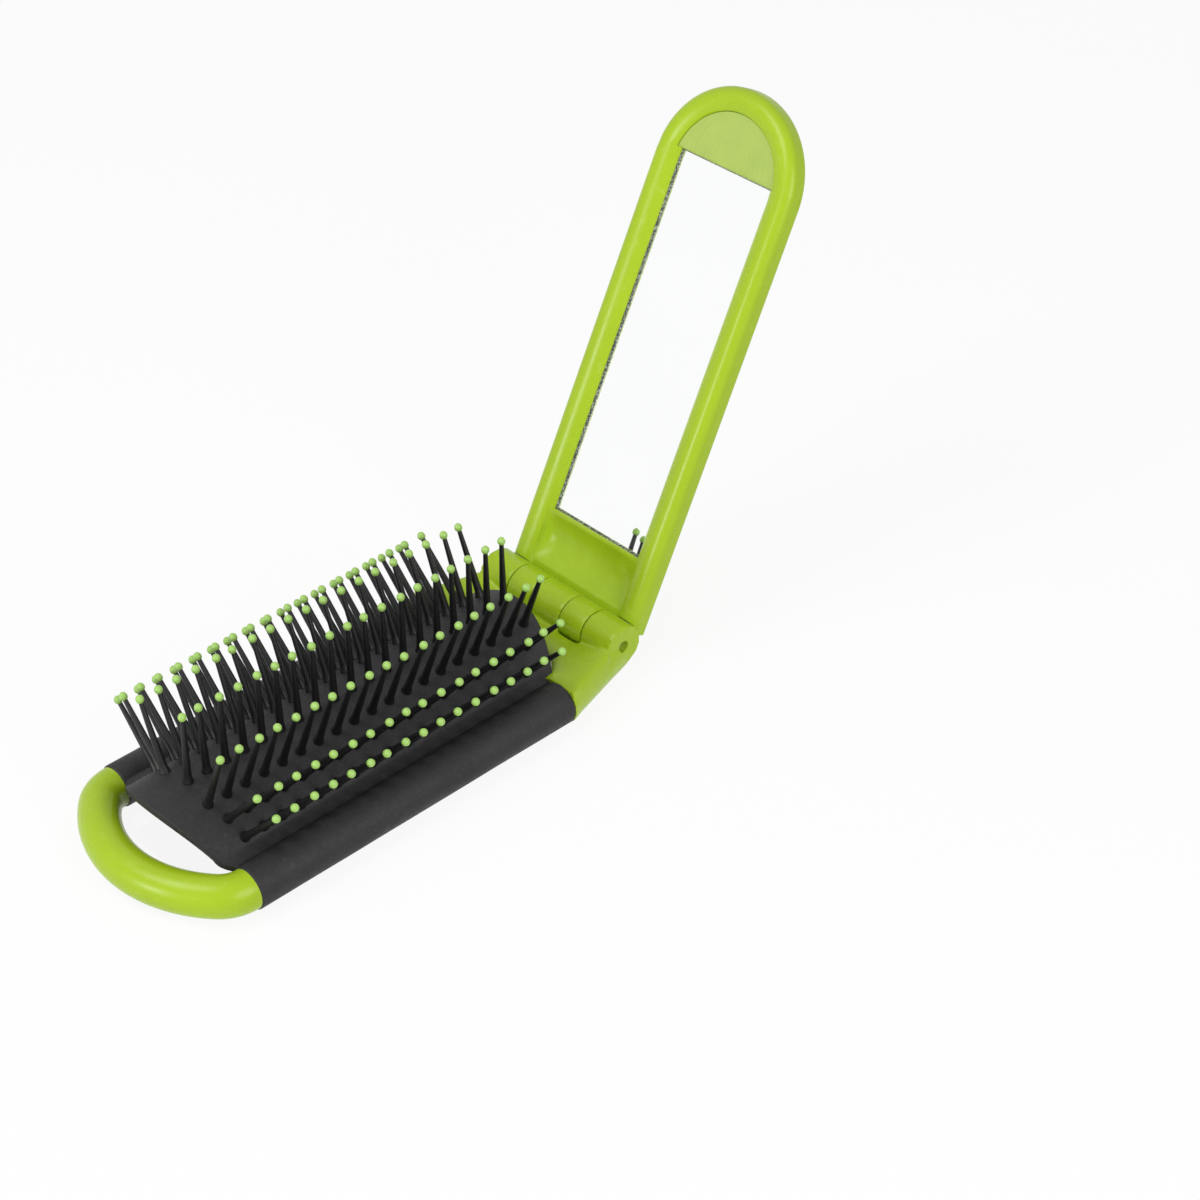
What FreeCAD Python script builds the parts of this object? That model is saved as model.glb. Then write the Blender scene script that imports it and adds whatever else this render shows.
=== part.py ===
import FreeCAD, Part
import Sketcher
import math
import os

# Folding travel brush: a looped frame with a hinge block, a rubber pad whose rows of
# bristles drop into the frame, and a lid with a mirror that closes over them.
# X runs from the loop to the hinge, Z is up, and the origin lies under the hinge pin,
# on the surface that the brush rests on. Sizes are millimetres and degrees.

# Driving sizes: name, value
SIZES = (
    ("rail_spacing", 39.0),
    ("rod_diameter", 6.6),
    ("loop_diameter", 8.0),
    ("loop_corner_radius", 7.0),
    ("loop_corner_turn", 48.0),
    ("tenon_diameter", 4.0),
    ("tenon_length", 5.0),
    ("sleeve_diameter", 8.6),
    ("sleeve_length", 75.7),
    ("sleeve_to_pin", 17.7),
    ("sleeve_clearance", 0.05),
    ("sleeve_edge", 0.4),
    ("pin_height", 7.3),
    ("pin_diameter", 2.4),
    ("pin_recess", 1.4),
    ("pin_clearance", 0.05),
    ("pin_grip", 0.01),
    ("barrel_diameter", 8.8),
    ("barrel_length", 36.6),
    ("knuckle_inner", 4.2),
    ("knuckle_outer", 10.6),
    ("knuckle_side_gap", 0.15),
    ("knuckle_round_gap", 0.35),
    ("arm_inset", 0.4),
    ("arm_flat", 0.4),
    ("bridge_thickness", 6.0),
    ("bridge_reach", 2.6),
    ("bridge_inset", 0.6),
    ("notch_depth", 9.0),
    ("open_angle", 117.5),
    ("lid_rest_gap", 0.4),
    ("lid_width", 35.0),
    ("lid_length", 107.0),
    ("lid_heel", 2.0),
    ("lid_frame_depth", 3.6),
    ("lid_cover_depth", 1.2),
    ("lid_edge", 1.0),
    ("cover_edge", 0.7),
    ("rim_width", 2.4),
    ("rim_drop", 1.15),
    ("rim_slope", 70.0),
    ("window_start", 15.9),
    ("window_length", 75.6),
    ("window_width", 23.7),
    ("mirror_overlap", 1.0),
    ("mirror_clearance", 0.1),
    ("mirror_thickness", 1.0),
    ("lip_thickness", 1.2),
    ("scoop_radius", 3.4),
    ("scoop_reach", 9.6),
    ("scoop_depth", 1.65),
    ("scoop_width", 28.0),
    ("pad_radius", 16.5),
    ("pad_crown", 15.46),
    ("pad_thickness", 1.6),
    ("pad_arc", 55.5),
    ("pad_lip_top", 128.0),
    ("pad_lip_under", 152.0),
    ("pad_gap", 0.1),
    ("pad_loop_bulge", 6.1),
    ("pad_hinge_bulge", 6.2),
    ("pad_end_gap", 0.9),
    ("pad_arm_gap", 3.1),
    ("bristle_length", 15.5),
    ("bristle_pitch", 4.225),
    ("bristle_diameter", 1.3),
    ("bead_diameter", 1.9),
    ("bead_height", 1.8),
    ("bead_edge", 0.5),
    ("bar_width", 1.8),
    ("bar_height", 1.0),
    ("bar_overhang", 1.5),
    ("bar_gap", 0.2),
    ("hole_clearance", 0.05),
    ("hole_reach", 4.0),
    ("middle_first", 90.4),
    ("inner_first", 90.9),
    ("inner_offset", 6.2),
    ("inner_tilt", 22.1),
    ("outer_first", 89.4),
    ("outer_offset", 9.8),
    ("outer_tilt", 42.3),
    ("edge_first", 88.3),
    ("edge_offset", 12.9),
    ("edge_tilt", 43.5),
)

# Rows across the pad: node number, size prefix, side of the middle, bristles in the row
ROWS = (
    (1, "edge", -1, 17),
    (2, "outer", -1, 18),
    (3, "inner", -1, 19),
    (4, "middle", 0, 19),
    (5, "inner", 1, 19),
    (6, "outer", 1, 18),
    (7, "edge", 1, 17),
)

X_AXIS = FreeCAD.Vector(1, 0, 0)
Y_AXIS = FreeCAD.Vector(0, 1, 0)
Z_AXIS = FreeCAD.Vector(0, 0, 1)
PIN_SIDES = 5
# A sketch numbers the ends of a line or arc 1 and 2
BOTH_ENDS = 3
TOLERANCE = 1e-6

doc = FreeCAD.newDocument("folding_brush")
sheet = doc.addObject("Spreadsheet::Sheet", "Sizes")
for line, (alias, value) in enumerate(SIZES, start=1):
    sheet.set("A%d" % line, alias)
    sheet.set("B%d" % line, str(value))
    sheet.setAlias("B%d" % line, alias)
doc.recompute()


def size(alias):
    return float(sheet.get(alias))


# Shared places worked out from the driving sizes
rail_side = size("rail_spacing") / 2
rail_height = size("sleeve_diameter") / 2
sleeve_start = -size("sleeve_to_pin") - size("sleeve_length")
rim_level = size("pin_height") - size("sleeve_diameter") - size("lid_rest_gap")
back_level = rim_level - size("lid_frame_depth")
parts = []


def plane_of(body, role):
    return [feature for feature in body.Origin.OriginFeatures if feature.Role == role][0]


def new_body(label):
    body = doc.addObject("PartDesign::Body", label + "_body")
    body.Label = label
    body.AllowCompound = True
    return body


def new_sketch(body, name, role, lift=None):
    """A sketch on one of the body's own planes, lifted off it by an expression."""
    sketch = body.newObject("Sketcher::SketchObject", name)
    sketch.AttachmentSupport = (plane_of(body, role), [""])
    sketch.MapMode = "FlatFace"
    if lift:
        sketch.setExpression("AttachmentOffset.Base.z", lift)
    return sketch


def bind(item, **expressions):
    for name, expression in expressions.items():
        item.setExpression(name.replace("__", "."), expression)


def add_circle(sketch, x, y, diameter):
    """A circle whose diameter follows the sheet."""
    centre = FreeCAD.Vector(x, y, 0)
    index = sketch.addGeometry(Part.Circle(centre, Z_AXIS, size(diameter) / 2), False)
    number = sketch.addConstraint(Sketcher.Constraint("Diameter", index, size(diameter)))
    sketch.setExpression("Constraints[%d]" % number, "Sizes." + diameter)


def runs_clockwise(points):
    """True for an arc that turns to the right; a sketch numbers its ends the other way."""
    if len(points) == 2:
        return False
    first, middle, last = points
    turn = (middle[0] - first[0]) * (last[1] - middle[1]) - (middle[1] - first[1]) * (last[0] - middle[0])
    return turn < 0


def add_outline(sketch, edges):
    """A closed outline of lines (two points) and arcs (three points)."""
    for points in edges:
        corners = [FreeCAD.Vector(x, y, 0) for x, y in points]
        if len(corners) == 2:
            sketch.addGeometry(Part.LineSegment(*corners), False)
        else:
            sketch.addGeometry(Part.Arc(*corners), False)
    starts = [2 if runs_clockwise(points) else 1 for points in edges]
    for index in range(len(edges)):
        follower = (index + 1) % len(edges)
        end = BOTH_ENDS - starts[index]
        sketch.addConstraint(Sketcher.Constraint("Coincident", index, end, follower, starts[follower]))


def pin_corners(radius):
    """Corners of a bristle's section; bristles, beads and holes have few flat sides."""
    turn = 2 * math.pi / PIN_SIDES
    return [(radius * math.cos(turn * i), radius * math.sin(turn * i)) for i in range(PIN_SIDES)]


def add_pin_section(sketch, radius):
    corners = pin_corners(radius)
    add_outline(sketch, [(corners[i - 1], corners[i]) for i in range(PIN_SIDES)])


def pad_sketch(body, sketch, length, reverse=False):
    feature = body.newObject("PartDesign::Pad", sketch.Name + "_pad")
    feature.Profile = sketch
    feature.Reversed = reverse
    feature.setExpression("Length", length)
    return feature


def cross_cylinder(name, label, radius, low, high, x=None, z=None):
    """A round bar across the brush, from y = low to y = high."""
    bar = doc.addObject("Part::Cylinder", name)
    bar.Label = label
    bind(bar, Radius=radius, Height="(%s) - (%s)" % (high, low))
    bar.Placement = FreeCAD.Placement(FreeCAD.Vector(), FreeCAD.Rotation(X_AXIS, -90))
    bind(bar, Placement__Base__y=low)
    if x:
        bind(bar, Placement__Base__x=x)
    if z:
        bind(bar, Placement__Base__z=z)
    return bar


def fuse(name, items):
    union = doc.addObject("Part::MultiFuse", name)
    union.Shapes = items
    return union


def cut(label, base, tool):
    result = doc.addObject("Part::Cut", label + "_cut")
    result.Label = label
    result.Base = base
    result.Tool = tool
    return result


def keep(item):
    """Marks an object as a piece of the brush that is written out."""
    parts.append(item)


# Loop and rails: one bent rod, with a thick loop, thinner rails and a tenon on each end
def make_loop_frame():
    body = new_body("loop_frame")
    turn = math.radians(size("loop_corner_turn"))
    corner = size("loop_corner_radius")
    end = (rail_side - corner) / math.cos(turn) + corner
    bend_x = -corner * math.sin(turn)
    bend_y = rail_side - corner * (1 - math.cos(turn))
    mid_x = -corner * math.sin(turn / 2)
    mid_y = rail_side - corner * (1 - math.cos(turn / 2))
    apex_x = bend_x - end * (1 - math.sin(turn))
    spine = new_sketch(body, "loop_line", "XY_Plane")
    arcs = (
        ((0, rail_side), (mid_x, mid_y), (bend_x, bend_y)),
        ((bend_x, bend_y), (apex_x, 0), (bend_x, -bend_y)),
        ((bend_x, -bend_y), (mid_x, -mid_y), (0, -rail_side)),
    )
    for points in arcs:
        spine.addGeometry(Part.Arc(*[FreeCAD.Vector(x, y, 0) for x, y in points]), False)
    spine.addConstraint(Sketcher.Constraint("Coincident", 0, 2, 1, 1))
    spine.addConstraint(Sketcher.Constraint("Coincident", 1, 2, 2, 1))
    section = new_sketch(body, "loop_section", "YZ_Plane")
    add_circle(section, rail_side, 0, "loop_diameter")
    doc.recompute()
    loop = body.newObject("PartDesign::AdditivePipe", "loop_pipe")
    loop.Profile = section
    loop.Spine = (spine, ["Edge1", "Edge2", "Edge3"])
    for name, diameter, length in (
        ("rail", "rod_diameter", "Sizes.sleeve_length"),
        ("tenon", "tenon_diameter", "Sizes.sleeve_length + Sizes.tenon_length"),
    ):
        rods = new_sketch(body, name + "_section", "YZ_Plane")
        for side in (-1, 1):
            add_circle(rods, side * rail_side, 0, diameter)
        pad_sketch(body, rods, length)
    bind(body, Placement__Base__x="-Sizes.sleeve_to_pin - Sizes.sleeve_length")
    bind(body, Placement__Base__z="Sizes.sleeve_diameter / 2")
    keep(body)


# Rubber sleeves on the two rails
def make_sleeve(label, side):
    body = new_body(label)
    ring = new_sketch(body, label + "_ring", "YZ_Plane")
    add_circle(ring, 0, 0, "sleeve_diameter")
    bore = size("rod_diameter") / 2 + size("sleeve_clearance")
    index = ring.addGeometry(Part.Circle(FreeCAD.Vector(), Z_AXIS, bore), False)
    number = ring.addConstraint(Sketcher.Constraint("Radius", index, bore))
    ring.setExpression("Constraints[%d]" % number, "Sizes.rod_diameter / 2 + Sizes.sleeve_clearance")
    tube = pad_sketch(body, ring, "Sizes.sleeve_length")
    doc.recompute()
    outer = size("sleeve_diameter") / 2
    ends = []
    for number, edge in enumerate(tube.Shape.Edges, start=1):
        if edge.Closed and abs(edge.Curve.Radius - outer) < TOLERANCE:
            ends.append("Edge%d" % number)
    bevel = body.newObject("PartDesign::Chamfer", label + "_bevel")
    bevel.Base = (tube, ends)
    bevel.setExpression("Size", "Sizes.sleeve_edge")
    bind(body, Placement__Base__x="-Sizes.sleeve_to_pin - Sizes.sleeve_length")
    bind(body, Placement__Base__y="%d * Sizes.rail_spacing / 2" % side)
    bind(body, Placement__Base__z="Sizes.sleeve_diameter / 2")
    keep(body)


# Hinge block: two tapering arms with round sides, a sunk bridge with a round notch for the
# pad, and the barrel
def make_hinge_block():
    body = new_body("hinge_block_core")
    front = -size("sleeve_to_pin")
    rear = size("bridge_reach")
    outer = rail_side + size("sleeve_diameter") / 2
    notch_side = rail_side - size("sleeve_diameter") / 2
    rear_side = size("barrel_length") / 2 - size("arm_inset")
    plan = new_sketch(body, "block_plan", "XY_Plane")
    add_outline(plan, (
        ((front, -notch_side), (front + size("notch_depth"), 0), (front, notch_side)),
        ((front, notch_side), (front, outer)),
        ((front, outer), (rear, rear_side)),
        ((rear, rear_side), (rear, -rear_side)),
        ((rear, -rear_side), (front, -outer)),
        ((front, -outer), (front, -notch_side)),
    ))
    slab = pad_sketch(body, plan, "Sizes.sleeve_diameter")
    doc.recompute()
    sides = []
    for number, edge in enumerate(slab.Shape.Edges, start=1):
        box = edge.BoundBox
        if box.XLength > (rear - front) / 2 and box.YMin * box.YMax > 0:
            sides.append("Edge%d" % number)
    rounding = body.newObject("PartDesign::Fillet", "arm_rounding")
    rounding.Base = (slab, sides)
    rounding.setExpression("Radius", "Sizes.sleeve_diameter / 2 - Sizes.arm_flat")
    doc.recompute()
    sunk = new_sketch(body, "bridge_top", "XY_Plane", "Sizes.sleeve_diameter")
    add_outline(sunk, rectangle(front, rear, notch_side - size("bridge_inset")))
    pocket = body.newObject("PartDesign::Pocket", "bridge_pocket")
    pocket.Profile = sunk
    bind(pocket, Length="Sizes.sleeve_diameter - Sizes.bridge_thickness")
    barrel = cross_cylinder("barrel", "barrel", "Sizes.barrel_diameter / 2", "-Sizes.barrel_length / 2",
                            "Sizes.barrel_length / 2", z="Sizes.pin_height")
    solid = fuse("block_solid", [body, barrel])
    tools = []
    for name, low, high in (
        ("near", "-Sizes.knuckle_outer", "-Sizes.knuckle_inner"),
        ("far", "Sizes.knuckle_inner", "Sizes.knuckle_outer"),
    ):
        reach = "Sizes.barrel_diameter / 2 + Sizes.knuckle_round_gap"
        tools.append(cross_cylinder(name + "_pocket", "pocket", reach, low, high, z="Sizes.pin_height"))
    tools.append(cross_cylinder(
        "block_bore", "bore", "Sizes.pin_diameter / 2 + Sizes.pin_grip",
        "-Sizes.barrel_length / 2", "Sizes.barrel_length / 2", z="Sizes.pin_height"))
    for name, side in (("near", -1), ("far", 1)):
        socket = doc.addObject("Part::Cylinder", name + "_socket")
        socket.Placement = FreeCAD.Placement(FreeCAD.Vector(), FreeCAD.Rotation(Y_AXIS, 90))
        bind(socket, Radius="Sizes.tenon_diameter / 2 + Sizes.sleeve_clearance")
        bind(socket, Height="Sizes.tenon_length + Sizes.sleeve_clearance")
        bind(socket, Placement__Base__x="-Sizes.sleeve_to_pin")
        bind(socket, Placement__Base__y="%d * Sizes.rail_spacing / 2" % side)
        bind(socket, Placement__Base__z="Sizes.sleeve_diameter / 2")
        tools.append(socket)
    keep(cut("hinge_block", solid, fuse("block_cuts", tools)))


def make_hinge_pin():
    low = "-Sizes.barrel_length / 2 + Sizes.pin_recess"
    high = "Sizes.barrel_length / 2 - Sizes.pin_recess"
    keep(cross_cylinder("pin", "hinge_pin", "Sizes.pin_diameter / 2", low, high, z="Sizes.pin_height"))


def lid_outline(inset):
    """The lid's outline, straight at the heel and round at the head, moved in by inset."""
    side = size("lid_width") / 2 - inset
    heel = size("lid_heel") + inset
    head = size("lid_length") - size("lid_width") / 2
    return (
        ((heel, -side), (head, -side)),
        ((head, -side), (head + side, 0), (head, side)),
        ((head, side), (heel, side)),
        ((heel, side), (heel, -side)),
    )


def rectangle(low_x, high_x, half_width):
    corners = ((low_x, -half_width), (high_x, -half_width), (high_x, half_width), (low_x, half_width))
    return [(corners[i], corners[(i + 1) % 4]) for i in range(4)]


def open_lid(item):
    """Swings a lid piece from the hinge axis to the lid's open rest."""
    item.Placement = FreeCAD.Placement(FreeCAD.Vector(), FreeCAD.Rotation(Y_AXIS, size("open_angle") - 180))
    bind(item, Placement__Base__z="Sizes.pin_height")
    bind(item, Placement__Rotation__Angle="Sizes.open_angle - 180")
    return item


RIM = "(Sizes.pin_height - Sizes.sleeve_diameter - Sizes.lid_rest_gap)"
BACK = RIM + " - Sizes.lid_frame_depth"


def edges_at(shape, level):
    """Names of the edges that lie wholly at one height."""
    names = []
    for number, edge in enumerate(shape.Edges, start=1):
        box = edge.BoundBox
        if abs(box.ZMin - level) < TOLERANCE and abs(box.ZMax - level) < TOLERANCE:
            names.append("Edge%d" % number)
    return names


# Lid frame: rim, sunk face, mirror window, scooped foot and the two hinge knuckles
def make_lid_frame():
    body = new_body("lid_frame_core")
    outline = new_sketch(body, "lid_plan", "XY_Plane", BACK)
    add_outline(outline, lid_outline(0))
    plate = pad_sketch(body, outline, "Sizes.lid_frame_depth")
    doc.recompute()
    rounding = body.newObject("PartDesign::Fillet", "rim_rounding")
    rounding.Base = (plate, edges_at(plate.Shape, rim_level))
    rounding.setExpression("Radius", "Sizes.lid_edge")
    doc.recompute()
    face = new_sketch(body, "sunk_face", "XY_Plane", RIM)
    add_outline(face, lid_outline(size("rim_width")))
    sunk = body.newObject("PartDesign::Pocket", "sunk_pocket")
    sunk.Profile = face
    bind(sunk, Length="Sizes.rim_drop")
    sunk.TaperAngle = -size("rim_slope")
    doc.recompute()
    start = size("window_start")
    window = new_sketch(body, "window", "XY_Plane", RIM)
    add_outline(window, rectangle(start, start + size("window_length"), size("window_width") / 2))
    opening = body.newObject("PartDesign::Pocket", "window_pocket")
    opening.Profile = window
    bind(opening, Length="Sizes.lid_frame_depth")
    margin = size("mirror_overlap") + size("mirror_clearance")
    seat = new_sketch(body, "mirror_seat", "XY_Plane", BACK)
    add_outline(seat, rectangle(start - margin, start + size("window_length") + margin,
                                size("window_width") / 2 + margin))
    rebate = body.newObject("PartDesign::Pocket", "seat_pocket")
    rebate.Profile = seat
    rebate.Reversed = True
    bind(rebate, Length="Sizes.lid_frame_depth - Sizes.rim_drop - Sizes.lip_thickness")
    doc.recompute()
    trims = []
    clear = "Sizes.barrel_diameter / 2 + Sizes.knuckle_round_gap"
    half = "Sizes.lid_width / 2"
    trims.append(cross_cylinder("heel_trim", "trim", clear, "-" + half, half))
    scoop_half = "Sizes.scoop_width / 2"
    scoop_z = RIM + " - Sizes.rim_drop - Sizes.scoop_depth + Sizes.scoop_radius"
    trims.append(cross_cylinder("scoop", "scoop", "Sizes.scoop_radius", "-" + scoop_half, scoop_half,
                                "Sizes.scoop_reach", scoop_z))
    plate_cut = cut("lid_plate", body, fuse("lid_trims", trims))
    knuckles = []
    gap = "Sizes.knuckle_side_gap"
    for name, low, high in (
        ("near", "-Sizes.knuckle_outer + " + gap, "-Sizes.knuckle_inner - " + gap),
        ("far", "Sizes.knuckle_inner + " + gap, "Sizes.knuckle_outer - " + gap),
    ):
        knuckles.append(cross_cylinder(name + "_knuckle", "knuckle", "Sizes.barrel_diameter / 2",
                                       low, high))
        web = doc.addObject("Part::Box", name + "_web")
        bind(web, Length="Sizes.barrel_diameter / 2 + Sizes.knuckle_round_gap * 2",
             Width="(%s) - (%s)" % (high, low), Height="Sizes.lid_frame_depth")
        bind(web, Placement__Base__y=low, Placement__Base__z=BACK)
        knuckles.append(web)
    whole = fuse("lid_with_knuckles", [plate_cut] + knuckles)
    bore = cross_cylinder("lid_bore", "bore", "Sizes.pin_diameter / 2 + Sizes.pin_clearance",
                          "-Sizes.knuckle_outer", "Sizes.knuckle_outer")
    keep(open_lid(cut("lid_frame", whole, bore)))


def make_lid_cover():
    body = new_body("lid_cover")
    outline = new_sketch(body, "cover_plan", "XY_Plane", BACK)
    add_outline(outline, lid_outline(0))
    plate = pad_sketch(body, outline, "Sizes.lid_cover_depth", True)
    doc.recompute()
    bevel = body.newObject("PartDesign::Chamfer", "cover_bevel")
    bevel.Base = (plate, edges_at(plate.Shape, back_level - size("lid_cover_depth")))
    bevel.setExpression("Size", "Sizes.cover_edge")
    keep(open_lid(body))


def make_mirror():
    margin = size("mirror_overlap")
    start = size("window_start")
    body = new_body("mirror")
    outline = new_sketch(body, "glass_plan", "XY_Plane", RIM + " - Sizes.rim_drop - Sizes.lip_thickness")
    add_outline(outline, rectangle(start - margin, start + size("window_length") + margin,
                                   size("window_width") / 2 + margin))
    pad_sketch(body, outline, "Sizes.mirror_thickness", True)
    keep(open_lid(body))
    body = new_body("mirror_tape")
    outline = new_sketch(body, "tape_plan", "XY_Plane", BACK)
    add_outline(outline, rectangle(start, start + size("window_length"), size("window_width") / 2))
    pad_sketch(body, outline, "Sizes.lid_frame_depth - Sizes.rim_drop - Sizes.lip_thickness"
               " - Sizes.mirror_thickness")
    keep(open_lid(body))


def row_place(prefix, side):
    """Middle of a row's roots across the pad, and the lean of its bristles."""
    if side == 0:
        return 0.0, size("pad_crown"), 0.0
    offset = size(prefix + "_offset")
    drop = size("pad_radius") - math.sqrt(size("pad_radius") ** 2 - offset ** 2)
    return side * offset, size("pad_crown") - drop, side * size(prefix + "_tilt")


def lean_row(item, prefix, side):
    """Stands a row on the pad, first bristle over its own place, leaning outwards."""
    y, z, tilt = row_place(prefix, side)
    item.Placement = FreeCAD.Placement(
        FreeCAD.Vector(-size(prefix + "_first"), y, z), FreeCAD.Rotation(X_AXIS, -tilt))
    item.setExpression("Placement.Base.x", "-Sizes.%s_first" % prefix)
    keep(item)


def repeat_row(body, features, count):
    pattern = body.newObject("PartDesign::LinearPattern", body.Label + "_pattern")
    pattern.Originals = features
    pattern.Direction = (plane_of(body, "X_Axis"), [""])
    pattern.Occurrences = count
    pattern.setExpression("Length", "%d * Sizes.bristle_pitch" % (count - 1))
    body.Tip = pattern
    return pattern


# One comb for each row: a bar behind the pad with pins moulded on it
def make_comb(number, prefix, side, count):
    body = new_body("comb_%d" % number)
    low = -size("bar_overhang")
    high = (count - 1) * size("bristle_pitch") + size("bar_overhang")
    half = size("bar_width") / 2
    under = "-Sizes.pad_thickness - Sizes.bar_gap"
    plan = new_sketch(body, "bar_plan_%d" % number, "XY_Plane", under)
    corners = ((low, -half), (high, -half), (high + half, -half / 2), (high + half, half / 2),
               (high, half), (low, half), (low - half, half / 2), (low - half, -half / 2))
    add_outline(plan, [(corners[i - 1], corners[i]) for i in range(len(corners))])
    pad_sketch(body, plan, "Sizes.bar_height", True)
    doc.recompute()
    root = new_sketch(body, "pin_root_%d" % number, "XY_Plane", under)
    add_pin_section(root, size("bristle_diameter") / 2)
    pin = pad_sketch(body, root, "Sizes.bristle_length - Sizes.bead_height + Sizes.pad_thickness"
                     " + Sizes.bar_gap")
    doc.recompute()
    repeat_row(body, [pin], count)
    lean_row(body, prefix, side)


# Beads on the ends of a row's bristles
def make_beads(number, prefix, side, count):
    body = new_body("tips_%d" % number)
    belt = new_sketch(body, "bead_base_%d" % number, "XY_Plane", "Sizes.bristle_length - Sizes.bead_height")
    add_pin_section(belt, size("bead_diameter") / 2)
    bead = pad_sketch(body, belt, "Sizes.bead_height")
    doc.recompute()
    pattern = repeat_row(body, [bead], count)
    doc.recompute()
    crown = body.newObject("PartDesign::Chamfer", "bead_crown_%d" % number)
    crown.Base = (pattern, edges_at(pattern.Shape, size("bristle_length")))
    crown.setExpression("Size", "Sizes.bead_edge")
    lean_row(body, prefix, side)


def arch_corners(radius, centre):
    """Corners of one half of the arch: a flat strip for each row, touching the arch at the row."""
    angles = [0.0]
    for prefix in ("inner", "outer", "edge"):
        angles.append(math.asin(size(prefix + "_offset") / size("pad_radius")))
    corners = []
    for row, following in zip(angles, angles[1:]):
        reach = radius / math.cos((following - row) / 2)
        middle = (row + following) / 2
        corners.append((reach * math.sin(middle), centre + reach * math.cos(middle)))
    end = math.radians(size("pad_arc"))
    reach = radius / math.cos(end - angles[-1])
    corners.append((reach * math.sin(end), centre + reach * math.cos(end)))
    return corners


# Rubber pad: an arched sheet between the sleeves, round at both ends, holed for the bristles
def make_rubber_pad():
    radius = size("pad_radius")
    centre = size("pad_crown") - radius
    seat = size("sleeve_diameter") / 2 + size("pad_gap")
    upper = math.radians(size("pad_lip_top"))
    lower = math.radians(size("pad_lip_under"))
    lip_top = (rail_side + seat * math.cos(upper), rail_height + seat * math.sin(upper))
    lip_under = (rail_side + seat * math.cos(lower), rail_height + seat * math.sin(lower))
    over = arch_corners(radius, centre)
    under = arch_corners(radius - size("pad_thickness"), centre)
    half = over + [lip_top, lip_under] + under[::-1]
    profile_corners = half + [(-y, z) for y, z in half[::-1]]

    body = new_body("pad_sheet")
    profile = new_sketch(body, "pad_profile", "YZ_Plane", "-Sizes.sleeve_to_pin - Sizes.sleeve_length"
                         " - Sizes.pad_loop_bulge")
    add_outline(profile, [(profile_corners[i - 1], profile_corners[i]) for i in range(len(profile_corners))])
    pad_sketch(body, profile, "Sizes.sleeve_length + Sizes.pad_loop_bulge + Sizes.pad_hinge_bulge")
    loop_end = sleeve_start + size("pad_end_gap")
    hinge_end = -size("sleeve_to_pin") - size("pad_arm_gap")
    reach = lip_top[0] + size("pad_gap")
    plan = doc.addObject("Part::Feature", "pad_plan")
    corners = [FreeCAD.Vector(x, y, 0) for x, y in (
        (loop_end, reach), (sleeve_start - size("pad_loop_bulge"), 0), (loop_end, -reach),
        (hinge_end, -reach), (-size("sleeve_to_pin") + size("pad_hinge_bulge"), 0), (hinge_end, reach))]
    border = Part.Wire([
        Part.Arc(corners[0], corners[1], corners[2]).toShape(),
        Part.LineSegment(corners[2], corners[3]).toShape(),
        Part.Arc(corners[3], corners[4], corners[5]).toShape(),
        Part.LineSegment(corners[5], corners[0]).toShape(),
    ])
    plan.Shape = Part.Face(border).extrude(Z_AXIS * (size("pad_crown") + radius))
    trimmed = doc.addObject("Part::Common", "pad_trimmed")
    trimmed.Base = body
    trimmed.Tool = plan
    holes = doc.addObject("Part::Feature", "pad_holes")
    ring = [FreeCAD.Vector(x, y, -size("hole_reach"))
            for x, y in pin_corners(size("bristle_diameter") / 2 + size("hole_clearance"))]
    prism = Part.Face(Part.makePolygon(ring + ring[:1])).extrude(Z_AXIS * 2 * size("hole_reach"))
    prisms = []
    for _, prefix, side, count in ROWS:
        y, z, tilt = row_place(prefix, side)
        lean = FreeCAD.Rotation(X_AXIS, -tilt)
        for step in range(count):
            x = -size(prefix + "_first") + step * size("bristle_pitch")
            copy = prism.copy()
            copy.Placement = FreeCAD.Placement(FreeCAD.Vector(x, y, z), lean)
            prisms.append(copy)
    holes.Shape = Part.makeCompound(prisms)
    keep(cut("rubber_pad", trimmed, holes))


make_loop_frame()
make_sleeve("sleeve_near", -1)
make_sleeve("sleeve_far", 1)
make_hinge_block()
make_hinge_pin()
make_lid_frame()
make_lid_cover()
make_mirror()
for row in ROWS:
    make_comb(*row)
    make_beads(*row)
make_rubber_pad()
doc.recompute()

# Every object has to be sound before anything is written
for item in doc.Objects:
    if "Invalid" in item.State or "Error" in item.State:
        raise RuntimeError("%s failed: %s" % (item.Label, item.State))
for item in parts:
    if item.Shape.isNull() or not item.Shape.isValid():
        raise RuntimeError("%s has no sound shape" % item.Label)
os.makedirs("parts", exist_ok=True)
for item in parts:
    item.Shape.exportStep("parts/%s.step" % item.Label)
    print(item.Label, len(item.Shape.Solids), "solids", round(item.Shape.Volume, 1), "mm3")
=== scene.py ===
import math

import bmesh
import bpy
from mathutils import Matrix, Vector, noise


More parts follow.
